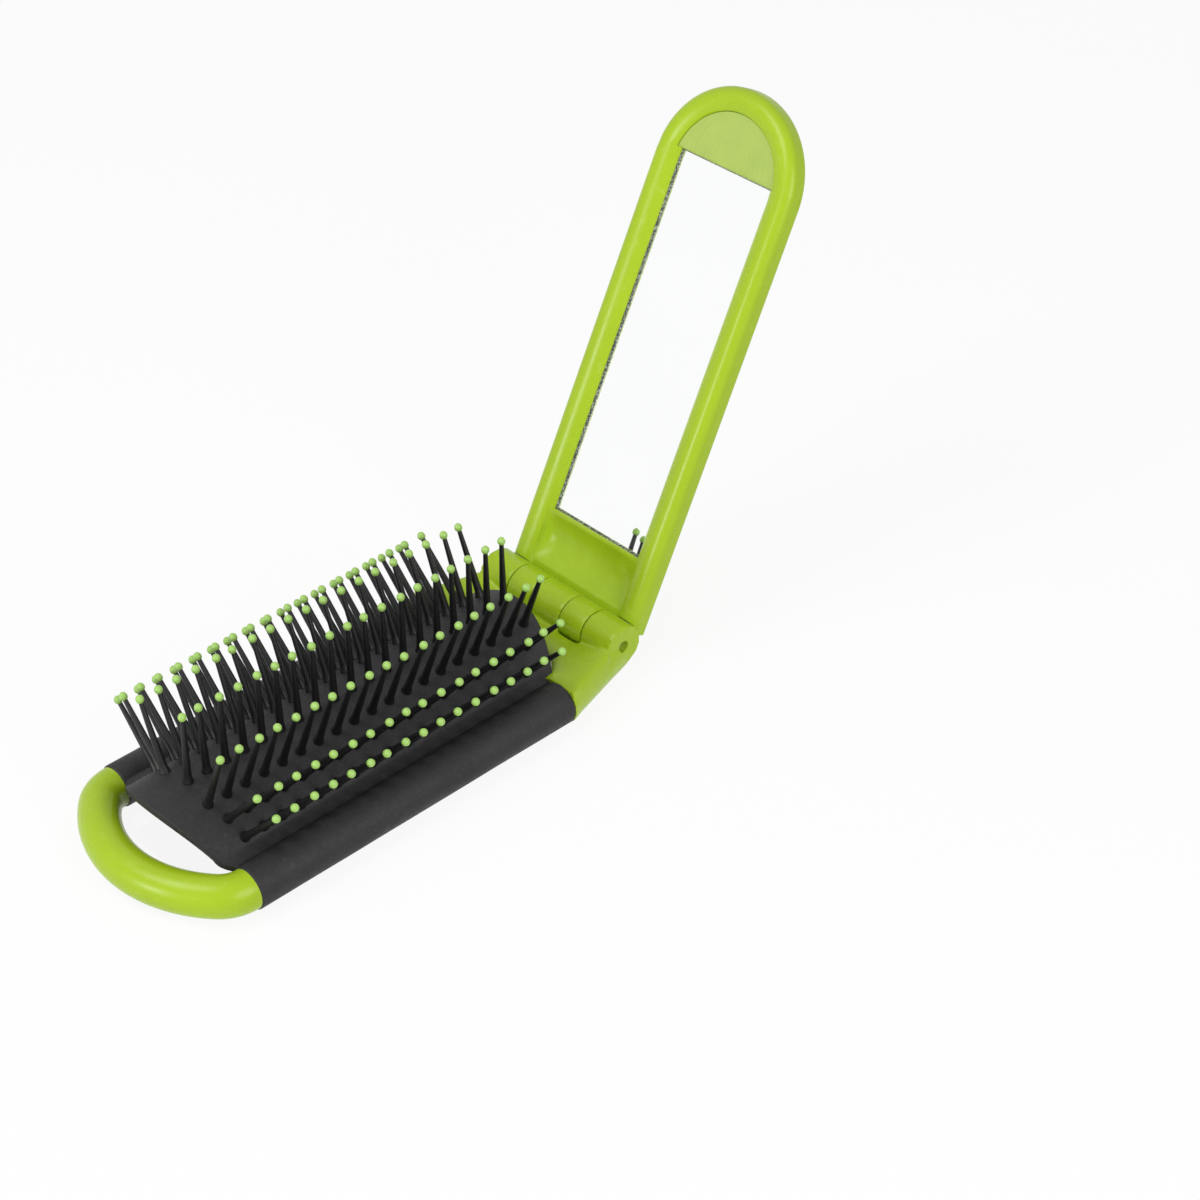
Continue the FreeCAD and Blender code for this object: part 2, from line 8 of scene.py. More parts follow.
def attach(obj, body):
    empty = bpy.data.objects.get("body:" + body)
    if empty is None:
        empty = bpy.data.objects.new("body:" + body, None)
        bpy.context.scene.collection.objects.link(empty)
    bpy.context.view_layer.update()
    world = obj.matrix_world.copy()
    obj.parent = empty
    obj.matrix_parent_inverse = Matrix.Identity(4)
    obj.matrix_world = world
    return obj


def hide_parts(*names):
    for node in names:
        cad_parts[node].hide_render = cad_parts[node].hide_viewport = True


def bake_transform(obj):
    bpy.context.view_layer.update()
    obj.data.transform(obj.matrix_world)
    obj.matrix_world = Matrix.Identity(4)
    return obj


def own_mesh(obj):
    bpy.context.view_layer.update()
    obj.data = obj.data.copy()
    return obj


# Folding travel brush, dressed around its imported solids.
# Lengths below are millimetres and become metres where a mesh is made.
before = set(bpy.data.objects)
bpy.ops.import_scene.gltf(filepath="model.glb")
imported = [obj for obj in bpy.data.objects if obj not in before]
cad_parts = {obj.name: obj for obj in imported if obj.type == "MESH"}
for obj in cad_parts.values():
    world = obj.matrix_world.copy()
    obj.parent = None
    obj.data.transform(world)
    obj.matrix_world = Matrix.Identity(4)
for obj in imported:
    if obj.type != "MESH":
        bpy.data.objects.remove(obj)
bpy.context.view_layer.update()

MM = 0.001

# Frame
RAIL_SIDE = 19.5
RAIL_HEIGHT = 4.3
ROD_RADIUS = 3.3
TENON_RADIUS = 2.0
TENON_LENGTH = 5.0
SLEEVE_RADIUS = 4.3
SLEEVE_START = -93.4
SLEEVE_END = -17.7
SLEEVE_LIP = 0.4
SLEEVE_PLAY = 0.08
SLEEVE_MOUTH = 0.3
SLEEVE_MOUTH_DEPTH = 0.9
SLEEVE_MOUTH_EDGE = 0.1
SLEEVE_GRIP_MARGIN = 1.0
SLEEVE_SIDES = 72
WAVE_DEPTH = 0.06
WAVE_FROM = 0.5
WAVE_ALONG = 0.07
WAVE_ROUND = 1.6
WAVE_APART = 7
LOOP_RADIUS = 4.0
LOOP_CORNER = 7.0
LOOP_TURN = math.radians(48.0)
LOOP_SIDES = 48

# Pad
PAD_RADIUS = 16.5
PAD_CROWN = 15.46
PAD_THICKNESS = 1.6
PAD_ARC = math.radians(55.5)
PAD_LOOP_TIP = -99.5
PAD_LOOP_CORNER = -92.5
PAD_HINGE_TIP = -11.0
PAD_HINGE_CORNER = -16.9
PAD_REACH = 16.9
PAD_SEAT_TURN = math.radians(134.0)
PAD_EDGE = 0.18
PAD_ALONG_STEPS = 120
PAD_ARCH_STEPS = 72
WEB_SEAT_GAP = 0.1
WEB_LEAVE_PULL = 2.4
WEB_ARRIVE_PULL = (1.6, 0.4)
WEB_STEPS = 14

# Hinge block
BRIDGE_LEVEL = 6.0
ARM_LEVEL = 8.3
SADDLE_START = 7.0
SADDLE_END = 18.5
BLOCK_DETAIL = 0.3
BLOCK_WELD = 1e-7
BRIDGE_MARGIN = 0.4
FACING_UP = 0.5
BARREL_MARGIN = 0.15
ARM_FADE = 1.6

# Each round of smoothing: least clearance from the barrel, number of passes
BLOCK_SMOOTHING = ((0.1, 8), (0.6, 18), (1.2, 30))

# Bristles
PITCH = 4.225
BRISTLE_LENGTH = 15.5
BEAD_RADIUS = 0.8
BEAD_HALF = 0.86
BAR_WIDTH = 1.8
BAR_HEIGHT = 1.0
BAR_TOP = -1.8
BAR_OVERHANG = 2.4
BAR_SIDES = 18
BAR_BELLY = 0.7
BRISTLE_SIDES = 12
BEAD_SIDES = 14
BRISTLE_SWAY = math.radians(1.2)
BRISTLE_LEAN = math.radians(0.45)

# Each row: number, count, place of its first bristle along the brush, place across, lean
ROWS = (
    (1, 17, -88.3, -12.9, -43.5),
    (2, 18, -89.4, -9.8, -42.3),
    (3, 19, -90.9, -6.2, -22.1),
    (4, 19, -90.4, 0.0, 0.0),
    (5, 19, -90.9, 6.2, 22.1),
    (6, 18, -89.4, 9.8, 42.3),
    (7, 17, -88.3, 12.9, 43.5),
)

# Lid, in its own directions: along it from the pin, across it, and towards the bristles
PIN_HEIGHT = 7.3
LID_TURN = math.radians(-62.5)
LID_HALF = 17.5
LID_LENGTH = 107.0
LID_HEEL = 2.0
LID_HEAD = LID_LENGTH - LID_HALF
LID_BACK = -5.3
COVER_DEPTH = 1.2
COVER_ROUND = 0.95
COVER_FLAT = 4.0
RIM_LEVEL = -1.7
RIM_SIDE_TOP = -3.7
RIM_CREST = 2.3
RIM_FALL = 1.5
RIM_EDGE = 0.08
RIM_STEPS = 12
HEAD_STEPS = 64
CHORD_GAP = 0.002
FACE_LEVEL = -2.85
PANEL_INSET = 4.8
PANEL_LEVEL = -2.8
PANEL_ROUND = 0.5
PANEL_GAP = 0.05
PANEL_DRAFT = 0.2
TURNING_CENTRE = 4.0
WINDOW_START = 15.9
WINDOW_END = 91.5
WINDOW_HALF = 11.85
WINDOW_INSET = LID_HALF - WINDOW_HALF
MIRROR_OVERLAP = 1.0
SEAT_OVERLAP = 1.1
SEAT_STEP = 0.1
GLASS_LEVEL = -4.05
GLASS_DEPTH = 1.0
GLASS_ROUND = 0.12
GLASS_EDGE_LIFT = 0.01
GLASS_EDGE_HEIGHT = 0.5
GLASS_EDGE_BACK = -0.01
GLASS_EDGE_TOP = -0.07
GLASS_EDGE_FOOT = -0.32
SCOOP_PLACE = 10.1
SCOOP_REACH = 5.1
SCOOP_DEPTH = 1.9
SCOOP_STRAIGHT = 8.6
SCOOP_END = 4.0
SCOOP_ROUND = 0.3
FOOT_STEPS = 90
FOOT_COLUMNS = 72
BARREL_RADIUS = 4.4
BORE_RADIUS = 1.21
BORE_RAGGED = 0.25
HEEL_CLEAR = 4.58
KNUCKLE_INNER = 4.35
KNUCKLE_OUTER = 10.45
KNUCKLE_EDGE = 0.3
KNUCKLE_SIDES = 64
TIE_REACH = 4.6
TIE_TOP = -3.0
TIE_SLOPE_START = 3.8
TIE_SLOPE_DROP = 0.8

LID_PLACE = Matrix.Translation((0.0, 0.0, PIN_HEIGHT)) @ Matrix.Rotation(LID_TURN, 4, "Y")
CREASE = math.radians(38.0)

# Studio
GRAIN_RELIEF = 0.0001
WORLD_LIGHT = 0.4
FLOOR_REACH = 3000.0
FLOOR_SHADE = (0.92, 0.92, 0.92)
FLOOR_PLAIN_SHARE = 0.9
RECESS_START = -97.0
RECESS_END = -12.0
RECESS_HALF = 11.5
RECESS_DEPTH = 20.0
CAMERA_LENS = 90.6
CAMERA_SENSOR = 36.0
CAMERA_NEAR = 0.01
CAMERA_PLACE = (-320.85, -351.02, 362.61)
CAMERA_RIGHT = (0.72212, -0.69172, -0.0084)
CAMERA_UP = (0.4179, 0.42652, 0.80215)
CAMERA_BACK = (-0.55128, -0.58276, 0.59707)

# Each lamp: name, place, the place it lights, power, size in metres
LAMPS = (
    ("key", (-260, 90, 430), (-20, 0, 40), 0.85, 0.22),
    ("fill", (-60, -480, 280), (-20, 0, 40), 1.15, 0.26),
    ("crest", (-851, 111, 231), (25, 0, 55), 1.9, 0.24),
)


def metres(place):
    """A placement in millimetres as one for meshes in metres."""
    return Matrix.Scale(MM, 4) @ place @ Matrix.Scale(1 / MM, 4)


# Node helpers
def add_node(tree, kind, at=(0, 0), **settings):
    node = tree.nodes.new(kind)
    node.location = at
    for name, value in settings.items():
        setattr(node, name, value)
    return node


def set_inputs(node, **values):
    for name, value in values.items():
        node.inputs[name.replace("_", " ")].default_value = value


def new_group(name, inputs, outputs):
    group = bpy.data.node_groups.new(name, "ShaderNodeTree")
    for label, kind, value in inputs:
        socket = group.interface.new_socket(label, in_out="INPUT", socket_type=kind)
        socket.default_value = value
    for label, kind in outputs:
        group.interface.new_socket(label, in_out="OUTPUT", socket_type=kind)
    source = add_node(group, "NodeGroupInput", (-600, 0))
    result = add_node(group, "NodeGroupOutput", (600, 0))
    return group, source, result


# Shared effects
def make_tone_drift():
    """Slow drift of a colour over the surface, as moulded plastic and rubber show."""
    group, source, result = new_group(
        "tone_drift",
        (("Color", "NodeSocketColor", (0.5, 0.5, 0.5, 1.0)), ("Scale", "NodeSocketFloat", 60.0),
         ("Amount", "NodeSocketFloat", 0.1)),
        (("Color", "NodeSocketColor"),))
    place = add_node(group, "ShaderNodeTexCoord", (-600, 200))
    cloud = add_node(group, "ShaderNodeTexNoise", (-400, 100))
    set_inputs(cloud, Detail=3.0, Roughness=0.5)
    centred = add_node(group, "ShaderNodeMath", (-200, 100), operation="SUBTRACT")
    centred.inputs[1].default_value = 0.5
    scaled = add_node(group, "ShaderNodeMath", (0, 100), operation="MULTIPLY")
    shade = add_node(group, "ShaderNodeMath", (200, 100), operation="ADD")
    shade.inputs[1].default_value = 1.0
    tinted = add_node(group, "ShaderNodeVectorMath", (400, 0), operation="SCALE")
    links = group.links
    links.new(place.outputs["Object"], cloud.inputs["Vector"])
    links.new(source.outputs["Scale"], cloud.inputs["Scale"])
    links.new(cloud.outputs["Fac"], centred.inputs[0])
    links.new(centred.outputs[0], scaled.inputs[0])
    links.new(source.outputs["Amount"], scaled.inputs[1])
    links.new(scaled.outputs[0], shade.inputs[0])
    links.new(source.outputs["Color"], tinted.inputs[0])
    links.new(shade.outputs[0], tinted.inputs["Scale"])
    links.new(tinted.outputs["Vector"], result.inputs["Color"])
    return group


def make_fine_grain():
    """Fine grain: a height for the bump, and a roughness that varies with it and with handling."""
    group, source, result = new_group(
        "fine_grain",
        (("Scale", "NodeSocketFloat", 3000.0), ("Smooth", "NodeSocketFloat", 0.3),
         ("Rough", "NodeSocketFloat", 0.5)),
        (("Height", "NodeSocketFloat"), ("Roughness", "NodeSocketFloat")))
    place = add_node(group, "ShaderNodeTexCoord", (-600, 200))
    grain = add_node(group, "ShaderNodeTexNoise", (-400, 200))
    set_inputs(grain, Detail=2.0, Roughness=0.6)
    handling = add_node(group, "ShaderNodeTexNoise", (-400, -100))
    set_inputs(handling, Scale=90.0, Detail=4.0, Roughness=0.6)
    both = add_node(group, "ShaderNodeMath", (-200, 0), operation="ADD")
    half = add_node(group, "ShaderNodeMath", (0, 0), operation="MULTIPLY")
    half.inputs[1].default_value = 0.5
    spread = add_node(group, "ShaderNodeMapRange", (200, 0))
    set_inputs(spread, From_Min=0.3, From_Max=0.7)
    links = group.links
    links.new(place.outputs["Object"], grain.inputs["Vector"])
    links.new(place.outputs["Object"], handling.inputs["Vector"])
    links.new(source.outputs["Scale"], grain.inputs["Scale"])
    links.new(grain.outputs["Fac"], both.inputs[0])
    links.new(handling.outputs["Fac"], both.inputs[1])
    links.new(both.outputs[0], half.inputs[0])
    links.new(half.outputs[0], spread.inputs["Value"])
    links.new(source.outputs["Smooth"], spread.inputs["To Min"])
    links.new(source.outputs["Rough"], spread.inputs["To Max"])
    links.new(grain.outputs["Fac"], result.inputs["Height"])
    links.new(spread.outputs["Result"], result.inputs["Roughness"])
    return group


def make_scuffs():
    """Sparse small marks of use, as a mask."""
    group, source, result = new_group(
        "scuffs",
        (("Scale", "NodeSocketFloat", 800.0), ("Amount", "NodeSocketFloat", 0.3)),
        (("Mask", "NodeSocketFloat"),))
    place = add_node(group, "ShaderNodeTexCoord", (-600, 200))
    marks = add_node(group, "ShaderNodeTexNoise", (-400, 100))
    set_inputs(marks, Detail=5.0, Roughness=0.7, Distortion=0.8)
    sparse = add_node(group, "ShaderNodeMapRange", (-150, 100))
    set_inputs(sparse, From_Min=0.58, From_Max=0.74)
    scaled = add_node(group, "ShaderNodeMath", (100, 100), operation="MULTIPLY")
    links = group.links
    links.new(place.outputs["Object"], marks.inputs["Vector"])
    links.new(source.outputs["Scale"], marks.inputs["Scale"])
    links.new(marks.outputs["Fac"], sparse.inputs["Value"])
    links.new(sparse.outputs["Result"], scaled.inputs[0])
    links.new(source.outputs["Amount"], scaled.inputs[1])
    links.new(scaled.outputs[0], result.inputs["Mask"])
    return group


TONE = make_tone_drift()
GRAIN = make_fine_grain()
SCUFFS = make_scuffs()


# Materials
def new_material(name):
    material = bpy.data.materials.new(name)
    material.use_nodes = True
    tree = material.node_tree
    return material, tree, tree.nodes["Principled BSDF"]


def add_tone(tree, color, scale, amount):
    tone = add_node(tree, "ShaderNodeGroup", (-500, 200), node_tree=TONE)
    set_inputs(tone, Color=(*color, 1.0), Scale=scale, Amount=amount)
    return tone.outputs["Color"]


def socket_named(sockets, identifier):
    """The socket of a mix node with this identifier; several of its sockets share one name."""
    return next(socket for socket in sockets if socket.identifier == identifier)


def add_wear(tree, clean, worn, scale, amount):
    """The clean colour with small marks of the worn one on it."""
    marks = add_node(tree, "ShaderNodeGroup", (-500, 450), node_tree=SCUFFS)
    set_inputs(marks, Scale=scale, Amount=amount)
    mix = add_node(tree, "ShaderNodeMix", (-250, 300), data_type="RGBA")
    socket_named(mix.inputs, "B_Color").default_value = (*worn, 1.0)
    tree.links.new(marks.outputs["Mask"], socket_named(mix.inputs, "Factor_Float"))
    tree.links.new(clean, socket_named(mix.inputs, "A_Color"))
    return socket_named(mix.outputs, "Result_Color")


def moulded(name, color, tone, wear, grain, bump, **shader_values):
    """A moulded material: drifting tone, marks of use, fine grain and the shader's own plain values."""
    material, tree, shader = new_material(name)
    clean = add_tone(tree, color, *tone)
    tree.links.new(add_wear(tree, clean, *wear), shader.inputs["Base Color"])
    fine = add_node(tree, "ShaderNodeGroup", (-500, -100), node_tree=GRAIN)
    set_inputs(fine, Scale=grain[0], Smooth=grain[1], Rough=grain[2])
    relief = add_node(tree, "ShaderNodeBump", (-250, -200))
    set_inputs(relief, Strength=bump, Distance=GRAIN_RELIEF)
    tree.links.new(fine.outputs["Roughness"], shader.inputs["Roughness"])
    tree.links.new(fine.outputs["Height"], relief.inputs["Height"])
    tree.links.new(relief.outputs["Normal"], shader.inputs["Normal"])
    set_inputs(shader, **shader_values)
    return material


LIME = moulded("lime_plastic", (0.36, 0.525, 0.013), (45.0, 0.16), ((0.55, 0.68, 0.16), 420.0, 0.3),
               (420.0, 0.21, 0.35), 0.03, Specular_IOR_Level=0.3)
BEAD = moulded("bead_plastic", (0.36, 0.6, 0.13), (120.0, 0.15), ((0.6, 0.78, 0.4), 1500.0, 0.3),
               (3000.0, 0.22, 0.4), 0.04)
RUBBER = moulded("soft_rubber", (0.0145, 0.014, 0.015), (260.0, 0.7), ((0.05, 0.05, 0.051), 900.0, 0.75),
                 (1500.0, 0.45, 0.75), 0.6, Specular_IOR_Level=0.4)
PIN_BLACK = moulded("pin_plastic", (0.007, 0.007, 0.0075), (150.0, 0.3), ((0.03, 0.03, 0.03), 1500.0, 0.5),
                    (3500.0, 0.3, 0.48), 0.08, Specular_IOR_Level=0.4)
STEEL = moulded("pin_steel", (0.55, 0.55, 0.56), (200.0, 0.2), ((0.4, 0.4, 0.4), 900.0, 0.5),
                (2500.0, 0.3, 0.5), 0.1, Metallic=1.0)
TAPE = moulded("foam_tape", (0.7, 0.7, 0.68), (200.0, 0.2), ((0.55, 0.55, 0.52), 900.0, 0.5),
               (1500.0, 0.7, 0.9), 0.4)


def make_frosted():
    """The panel at the lid's head: paler, matt and with faint turning marks."""
    material, tree, shader = new_material("lime_frosted")
    tree.links.new(add_tone(tree, (0.37, 0.495, 0.09), 260.0, 0.2), shader.inputs["Base Color"])
    fine = add_node(tree, "ShaderNodeGroup", (-700, 0), node_tree=GRAIN)
    set_inputs(fine, Scale=3500.0, Smooth=0.5, Rough=0.68)
    place = add_node(tree, "ShaderNodeTexCoord", (-1100, -250))
    centre = LID_PLACE @ Vector((LID_HEAD + TURNING_CENTRE, 0.0, FACE_LEVEL))
    moved = add_node(tree, "ShaderNodeMapping", (-900, -250))
    set_inputs(moved, Location=tuple(-MM * value for value in centre))
    rings = add_node(tree, "ShaderNodeTexWave", (-700, -250), wave_type="RINGS", rings_direction="SPHERICAL")
    set_inputs(rings, Scale=260.0, Distortion=0.6, Detail=1.0)
    marks = add_node(tree, "ShaderNodeMath", (-450, -150), operation="ADD")
    relief = add_node(tree, "ShaderNodeBump", (-250, -200))
    set_inputs(relief, Strength=0.2, Distance=GRAIN_RELIEF)
    links = tree.links
    links.new(fine.outputs["Roughness"], shader.inputs["Roughness"])
    links.new(place.outputs["Object"], moved.inputs["Vector"])
    links.new(moved.outputs["Vector"], rings.inputs["Vector"])
    links.new(rings.outputs["Fac"], marks.inputs[0])
    links.new(fine.outputs["Height"], marks.inputs[1])
    links.new(marks.outputs[0], relief.inputs["Height"])
    links.new(relief.outputs["Normal"], shader.inputs["Normal"])
    return material


def make_silver_edge():
    """The rough cut edge round the mirror: dark, with bright specks."""
    material, tree, shader = new_material("silver_edge")
    place = add_node(tree, "ShaderNodeTexCoord", (-800, 0))
    specks = add_node(tree, "ShaderNodeTexNoise", (-600, 0))
    set_inputs(specks, Scale=2600.0, Detail=3.0, Roughness=0.7)
    ramp = add_node(tree, "ShaderNodeValToRGB", (-400, 0))
    dark, bright = ramp.color_ramp.elements
    dark.position = 0.46
    dark.color = (0.03, 0.035, 0.025, 1.0)
    bright.position = 0.66
    bright.color = (0.42, 0.46, 0.34, 1.0)
    tree.links.new(place.outputs["Object"], specks.inputs["Vector"])
    tree.links.new(specks.outputs["Fac"], ramp.inputs["Fac"])
    tree.links.new(ramp.outputs["Color"], shader.inputs["Base Color"])
    set_inputs(shader, Roughness=0.5)
    return material


def make_silvered_glass():
    material, tree, shader = new_material("silvered_glass")
    tree.links.new(add_tone(tree, (0.96, 0.965, 0.965), 40.0, 0.03), shader.inputs["Base Color"])
    set_inputs(shader, Metallic=1.0, Roughness=0.02)
    return material


FROSTED = make_frosted()
SILVER_EDGE = make_silver_edge()
SILVERED = make_silvered_glass()


# Mesh helpers
def ring_faces(rings, sides, closed=False):
    """Quads between neighbouring rings of points; both ends are capped unless the rings close."""
    faces = []
    last = rings if closed else rings - 1
    for ring in range(last):
        here = ring * sides
        there = (ring + 1) % rings * sides
        for side in range(sides):
            following = (side + 1) % sides
            faces.append((here + side, here + following, there + following, there + side))
    if not closed:
        faces.append(tuple(reversed(range(sides))))
        faces.append(tuple(range((rings - 1) * sides, rings * sides)))
    return faces


def mesh_of(name, shells, place=Matrix.Identity(4)):
    """One mesh from closed shells of (points, faces), each turned outwards."""
    work = bmesh.new()
    for points, faces in shells:
        corners = [work.verts.new((place @ Vector(point)) * MM) for point in points]
        skin = [work.faces.new([corners[index] for index in face]) for face in faces]
        bmesh.ops.recalc_face_normals(work, faces=skin)
    mesh = bpy.data.meshes.new(name)
    work.to_mesh(mesh)
    work.free()
    return mesh


def piece_from(name, mesh, material):
    """A finished piece: smooth where its surface is, creased at its edges."""
    mesh.shade_smooth()
    mesh.set_sharp_from_angle(angle=CREASE)
    mesh.materials.clear()
    mesh.materials.append(material)
    piece = bpy.data.objects.new(name, mesh)
    bpy.context.scene.collection.objects.link(piece)
    return piece


def fit(piece, body, slot, *nodes):
    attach(piece, body)
    if nodes:
        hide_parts(*nodes)


def baked(item, name):
    """The item's modifiers made plain, in a new mesh."""
    graph = bpy.context.evaluated_depsgraph_get()
    graph.update()
    mesh = bpy.data.meshes.new_from_object(item.evaluated_get(graph))
    mesh.name = name
    bpy.data.objects.remove(item)
    return mesh


def lathe(profile, sides, axis="Z"):
    """A turned shape from (radius, height) pairs, bottom to top, about Z or Y."""
    points = []
    for radius, height in profile:
        for side in range(sides):
            angle = 2 * math.pi * side / sides
            first = radius * math.cos(angle)
            second = radius * math.sin(angle)
            points.append((first, second, height) if axis == "Z" else (first, height, second))
    return points, ring_faces(len(profile), sides)


def steps(low, high, count):
    """Evenly spaced values from low to high, both included."""
    return [low + (high - low) * step / count for step in range(count + 1)]


def soft_min(first, second, width):
    """The lower of two levels, with their crossing rounded over a width."""
    share = max(width - abs(first - second), 0.0) / width
    return min(first, second) - share ** 2 * width / 4


# Loop and rails
def loop_path():
    """Stations along one half of the bent rod: place along, place across, turn and radius."""
    sweep = (RAIL_SIDE - LOOP_CORNER) / math.cos(LOOP_TURN) + LOOP_CORNER
    sweep_centre = SLEEVE_START + (sweep - LOOP_CORNER) * math.sin(LOOP_TURN)
    path = [
        (SLEEVE_END + TENON_LENGTH, RAIL_SIDE, 0.0, TENON_RADIUS),
        (SLEEVE_END, RAIL_SIDE, 0.0, TENON_RADIUS),
        (SLEEVE_END, RAIL_SIDE, 0.0, ROD_RADIUS),
        (SLEEVE_START + SLEEVE_LIP / 2, RAIL_SIDE, 0.0, ROD_RADIUS),
        (SLEEVE_START + SLEEVE_LIP / 2, RAIL_SIDE, 0.0, LOOP_RADIUS),
    ]
    for turn in steps(0.0, LOOP_TURN, 16):
        path.append((SLEEVE_START - LOOP_CORNER * math.sin(turn),
                     RAIL_SIDE - LOOP_CORNER + LOOP_CORNER * math.cos(turn), turn, LOOP_RADIUS))
    for turn in steps(LOOP_TURN, math.pi / 2, 28)[1:]:
        path.append((sweep_centre - sweep * math.sin(turn), sweep * math.cos(turn), turn, LOOP_RADIUS))
    return path


def make_loop():
    half = loop_path()
    path = half + [(x, -y, math.pi - turn, radius) for x, y, turn, radius in half[-2::-1]]
    points = []
    for x, y, turn, radius in path:
        for side in range(LOOP_SIDES):
            angle = 2 * math.pi * side / LOOP_SIDES
            out = radius * math.cos(angle)
            points.append((x - out * math.sin(turn), y + out * math.cos(turn),
                           RAIL_HEIGHT + radius * math.sin(angle)))
    mesh = mesh_of("loop", [(points, ring_faces(len(path), LOOP_SIDES))])
    fit(piece_from("loop", mesh, LIME), "frame", "green_plastic", "loop_frame")


def sleeve_profile():
    """Radius and place along the rail: bore end, rolled lip, grip, rolled lip, bore end."""
    bore = ROD_RADIUS + SLEEVE_PLAY
    near_lip = []
    for turn in steps(0.0, math.pi / 2, 6):
        near_lip.append((SLEEVE_RADIUS - SLEEVE_LIP + SLEEVE_LIP * math.sin(turn),
                         SLEEVE_LIP - SLEEVE_LIP * math.cos(turn)))
    start = [(bore, SLEEVE_MOUTH_DEPTH), (bore + SLEEVE_MOUTH, SLEEVE_MOUTH_EDGE)] + near_lip
    profile = [(radius, SLEEVE_START + along) for radius, along in start]
    for along in steps(SLEEVE_START + SLEEVE_GRIP_MARGIN, SLEEVE_END - SLEEVE_GRIP_MARGIN, 70):
        profile.append((SLEEVE_RADIUS, along))
    return profile + [(radius, SLEEVE_END - along) for radius, along in reversed(start)]


def make_sleeve(name, side, node):
    """A rubber tube on a rail, with rolled ends and the faint waves of a pushed-on grip."""
    profile = sleeve_profile()
    points = []
    for radius, along in profile:
        waved = WAVE_DEPTH if radius > ROD_RADIUS + WAVE_FROM else 0.0
        for count in range(SLEEVE_SIDES):
            angle = 2 * math.pi * count / SLEEVE_SIDES
            spot = Vector((along * WAVE_ALONG, WAVE_ROUND * math.cos(angle),
                           WAVE_ROUND * math.sin(angle) + WAVE_APART * side))
            swell = radius - waved * (1.0 - noise.noise(spot))
            points.append((along, side * RAIL_SIDE + swell * math.cos(angle),
                           RAIL_HEIGHT + swell * math.sin(angle)))
    mesh = mesh_of(name, [(points, ring_faces(len(profile), SLEEVE_SIDES, closed=True))])
    fit(piece_from(name, mesh, RUBBER), "frame", "black_rubber", node)


# Pad
def round_end(tip, corner, across):
    """Place along the brush of a round pad end that runs from its corners to its tip."""
    depth = tip - corner
    radius = (PAD_REACH ** 2 + depth ** 2) / (2 * abs(depth))
    fall = radius - math.sqrt(radius ** 2 - min(abs(across), PAD_REACH) ** 2)
    return tip - math.copysign(fall, depth)


def sheet_shell(line, along_steps):
    """A rubber sheet over a line of (across, up, outward direction), cut round at both ends."""
    points = []
    edge = PAD_EDGE
    wall = ((0.0, -edge), (0.0, edge - PAD_THICKNESS), (edge, -PAD_THICKNESS))
    for across, up, out_across, out_up in line:
        low = round_end(PAD_LOOP_TIP, PAD_LOOP_CORNER, across)
        high = round_end(PAD_HINGE_TIP, PAD_HINGE_CORNER, across)
        section = [(along, 0.0) for along in steps(low + edge, high - edge, along_steps)]
        section += [(high - inset, depth) for inset, depth in wall]
        section += [(along, -PAD_THICKNESS) for along in steps(high - edge, low + edge, along_steps)[1:]]
        section += [(low + inset, depth) for inset, depth in reversed(wall[:2])]
        for along, depth in section:
            points.append((along, across + depth * out_across, up + depth * out_up))
    return points, ring_faces(len(line), len(points) // len(line))


def pad_end():
    """Where the arch ends and its web to the sleeve begins, seen along the brush."""
    return Vector((PAD_RADIUS * math.sin(PAD_ARC),
                   PAD_CROWN - PAD_RADIUS + PAD_RADIUS * math.cos(PAD_ARC)))


def make_pad():
    arch = []
    for angle in steps(-PAD_ARC, PAD_ARC, PAD_ARCH_STEPS):
        arch.append((PAD_RADIUS * math.sin(angle), PAD_CROWN - PAD_RADIUS + PAD_RADIUS * math.cos(angle),
                     math.sin(angle), math.cos(angle)))
    pad = piece_from("pad", mesh_of("pad", [sheet_shell(arch, PAD_ALONG_STEPS)]), RUBBER)
    fit(pad, "frame", "black_rubber", "rubber_pad")
    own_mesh(pad)


def make_web(name, side):
    """The sheet's side, from the arch down to its seat on the sleeve."""
    start = pad_end()
    seat = SLEEVE_RADIUS + WEB_SEAT_GAP
    end = Vector((RAIL_SIDE + seat * math.cos(PAD_SEAT_TURN), RAIL_HEIGHT + seat * math.sin(PAD_SEAT_TURN)))
    leave = Vector((math.cos(PAD_ARC), -math.sin(PAD_ARC))) * WEB_LEAVE_PULL
    arrive = Vector(WEB_ARRIVE_PULL)
    line = []
    for t in steps(0.0, 1.0, WEB_STEPS):
        spot = (start * (2 * t ** 3 - 3 * t ** 2 + 1) + leave * (t ** 3 - 2 * t ** 2 + t)
                + end * (3 * t ** 2 - 2 * t ** 3) + arrive * (t ** 3 - t ** 2))
        slope = (start * (6 * t ** 2 - 6 * t) + leave * (3 * t ** 2 - 4 * t + 1)
                 + end * (6 * t - 6 * t ** 2) + arrive * (3 * t ** 2 - 2 * t))
        slope.normalize()
        line.append((side * spot.x, spot.y, -side * slope.y, slope.x))
    web = piece_from(name, mesh_of(name, [sheet_shell(line, PAD_ALONG_STEPS)]), RUBBER)
    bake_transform(web)
    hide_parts("rubber_pad")


